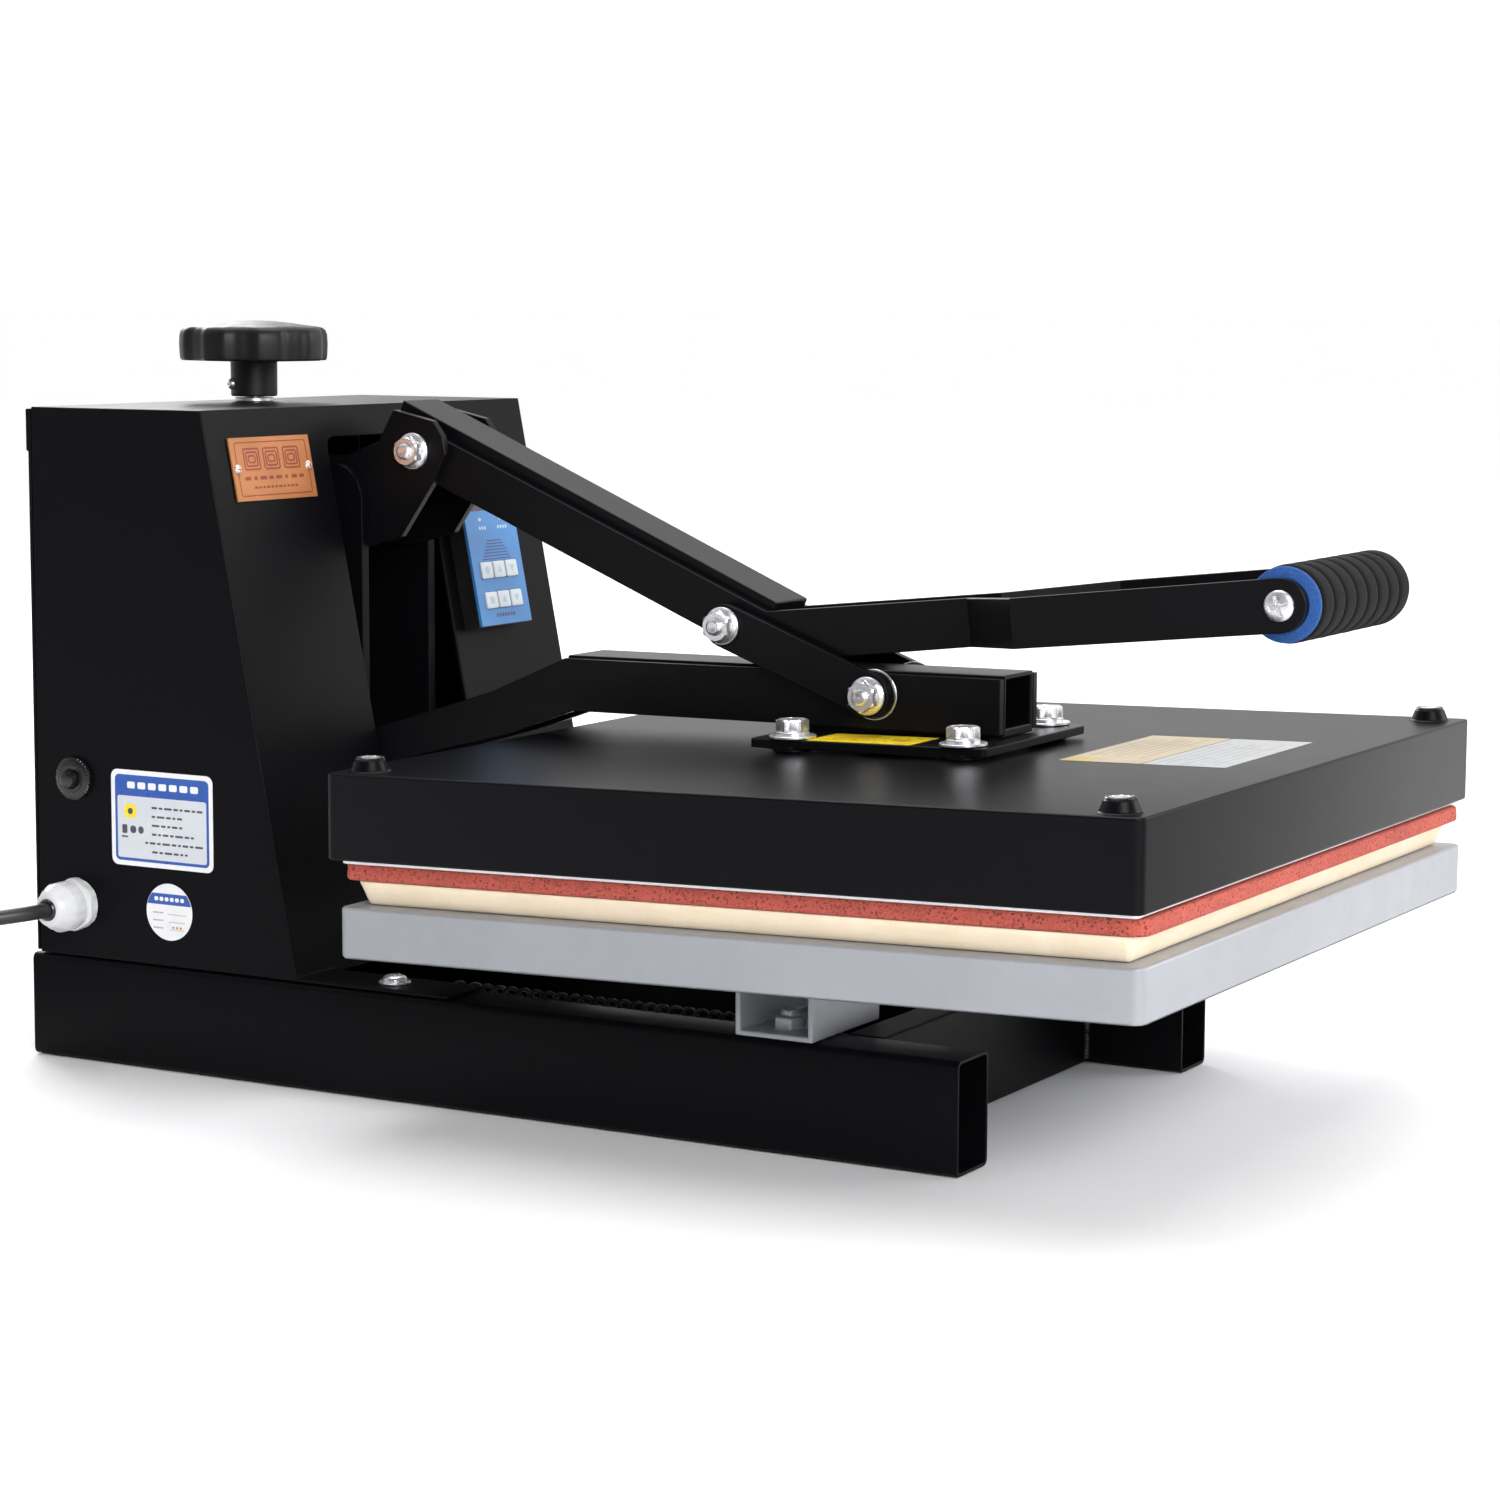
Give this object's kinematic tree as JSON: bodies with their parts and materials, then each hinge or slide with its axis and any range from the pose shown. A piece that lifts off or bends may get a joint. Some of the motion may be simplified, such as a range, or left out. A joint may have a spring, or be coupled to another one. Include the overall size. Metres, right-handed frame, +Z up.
{
  "type": "heat press",
  "caption": "Clamshell flat heat press: heated upper platen on a toggle-locked arm over a padded lower tray, sloping tower with pressure knob and control panel, twin-rail base.",
  "frame": {"origin": "on the floor under the centre of the machine's length and width, cord not counted", "axes": "+Z up, handle and operator at -Y, tower at +Y, +X to the operator's right"},
  "size_m": [0.4649, 0.8395, 0.3512],
  "materials": {
    "black_frame": "black textured powder coat",
    "black_arm": "black fine powder coat",
    "black_cover": "black satin powder coat",
    "tray_silver": "silver grey powder coat",
    "zinc": "bright zinc plating",
    "steel": "turned steel",
    "heat_aluminium": "cast and machined",
    "foam_red": "red silicone sponge, open pores",
    "foam_cream": "cream silicone sponge",
    "grip_black": "black ribbed foam",
    "disc_blue": "blue foam washer",
    "knob_plastic": "black moulded, fine grain",
    "gland_white": "white nylon",
    "breaker_black": "black moulded",
    "button_black": "black moulded",
    "badge_brass": "orange-brown lacquered brass",
    "box_black": "black moulded",
    "panel_blue": "printed blue overlay",
    "key_white": "printed white keys",
    "cord_black": "black PVC",
    "spring_black": "black oxide spring steel"
  },
  "bodies": {
    "base": {"rail_left": "black_frame", "rail_right": "black_frame", "cross_beam_front": "black_frame", "cross_beam_rear": "black_frame", "tower_housing": "black_frame", "rear_cover": "black_frame", "guide_plate_left": "black_frame", "guide_plate_right": "black_frame", "arm_pivot_shaft": "steel", "lower_tray": "tray_silver", "pad_cream": "foam_cream", "pad_red": "foam_red", "support_block_left": "tray_silver", "support_block_right": "tray_silver", "spring_left": "spring_black", "spring_right": "spring_black", "cable_gland": "gland_white", "breaker_body": "breaker_black", "badge_plate": "badge_brass", "control_box": "box_black", "control_panel": "panel_blue", "power_cord": "cord_black", "cord_coil": "cord_black", "mains_plug": "cord_black"},
    "slide": {"ear_plate_left": "black_arm", "ear_plate_right": "black_arm", "slide_block": "black_frame", "pivot_bolt_upper": "zinc"},
    "knob": {"pressure_knob": "knob_plastic", "pressure_screw": "steel"},
    "upper_arm": {"upper_arm_tube": "black_arm", "handle_bar_left": "black_arm", "handle_bar_right": "black_arm", "grip_foam": "grip_black", "grip_disc_left": "disc_blue", "grip_disc_right": "disc_blue", "handle_rod": "zinc", "pivot_bolt_middle": "zinc"},
    "links": {"link_left": "black_arm", "link_right": "black_arm", "link_nut_left": "zinc", "link_nut_right": "zinc"},
    "lower_arm": {"lower_arm_tube": "black_arm", "lower_arm_plate_left": "black_arm", "lower_arm_plate_right": "black_arm", "pivot_bolt_lower": "zinc", "mount_plate": "black_arm", "plate_bolt_1": "zinc", "plate_bolt_2": "zinc", "plate_bolt_3": "zinc", "plate_bolt_4": "zinc", "upper_cover": "black_cover", "heating_plate": "heat_aluminium"},
    "reset": {"reset_button": "button_black"},
    "key1": {"key_1": "key_white"},
    "key2": {"key_2": "key_white"},
    "key3": {"key_3": "key_white"},
    "key4": {"key_4": "key_white"},
    "key5": {"key_5": "key_white"},
    "key6": {"key_6": "key_white"}
  },
  "joints": [
    {"name": "press_hinge", "type": "hinge", "parent": "base", "child": "lower_arm", "pos_m": [0, 0.20925, 0.138], "axis": [-1, 0, 0], "range_deg": [0, 40]},
    {"name": "handle_hinge", "type": "hinge", "parent": "slide", "child": "upper_arm", "pos_m": [0, 0.16185, 0.2895], "axis": [-1, 0, 0], "range_deg": [0, 75.94]},
    {"name": "link_hinge", "type": "hinge", "parent": "lower_arm", "child": "links", "pos_m": [0, -0.08495, 0.1861], "axis": [1, 0, 0], "range_deg": [0, 86.19]},
    {"name": "knob_turn", "type": "hinge", "parent": "base", "child": "knob", "pos_m": [0, 0.27525, 0.33], "axis": [0, 0, 1], "range_deg": [-198, 1098]},
    {"name": "pressure_slide", "type": "slide", "parent": "base", "child": "slide", "axis": [0, 0, 1], "range_m": [-0.001, 0.006]},
    {"name": "reset_press", "type": "slide", "parent": "base", "child": "reset", "axis": [1, 0, 0], "range_m": [0, 0.0015], "stiffness_N_per_m": 300},
    {"name": "key1_press", "type": "slide", "parent": "base", "child": "key1", "axis": [0, 0.9807, -0.1953], "range_m": [0, 0.0006], "stiffness_N_per_m": 400},
    {"name": "key2_press", "type": "slide", "parent": "base", "child": "key2", "axis": [0, 0.9807, -0.1953], "range_m": [0, 0.0006], "stiffness_N_per_m": 400},
    {"name": "key3_press", "type": "slide", "parent": "base", "child": "key3", "axis": [0, 0.9807, -0.1953], "range_m": [0, 0.0006], "stiffness_N_per_m": 400},
    {"name": "key4_press", "type": "slide", "parent": "base", "child": "key4", "axis": [0, 0.9807, -0.1953], "range_m": [0, 0.0006], "stiffness_N_per_m": 400},
    {"name": "key5_press", "type": "slide", "parent": "base", "child": "key5", "axis": [0, 0.9807, -0.1953], "range_m": [0, 0.0006], "stiffness_N_per_m": 400},
    {"name": "key6_press", "type": "slide", "parent": "base", "child": "key6", "axis": [0, 0.9807, -0.1953], "range_m": [0, 0.0006], "stiffness_N_per_m": 400}
  ],
  "couplings": [
    {"joint": "handle_hinge", "follows": "press_hinge", "ratio": 1.8972},
    {"joint": "link_hinge", "follows": "press_hinge", "ratio": 2.1535},
    {"joint": "knob_turn", "follows": "pressure_slide", "rad_per_m": 3141.6}
  ]
}
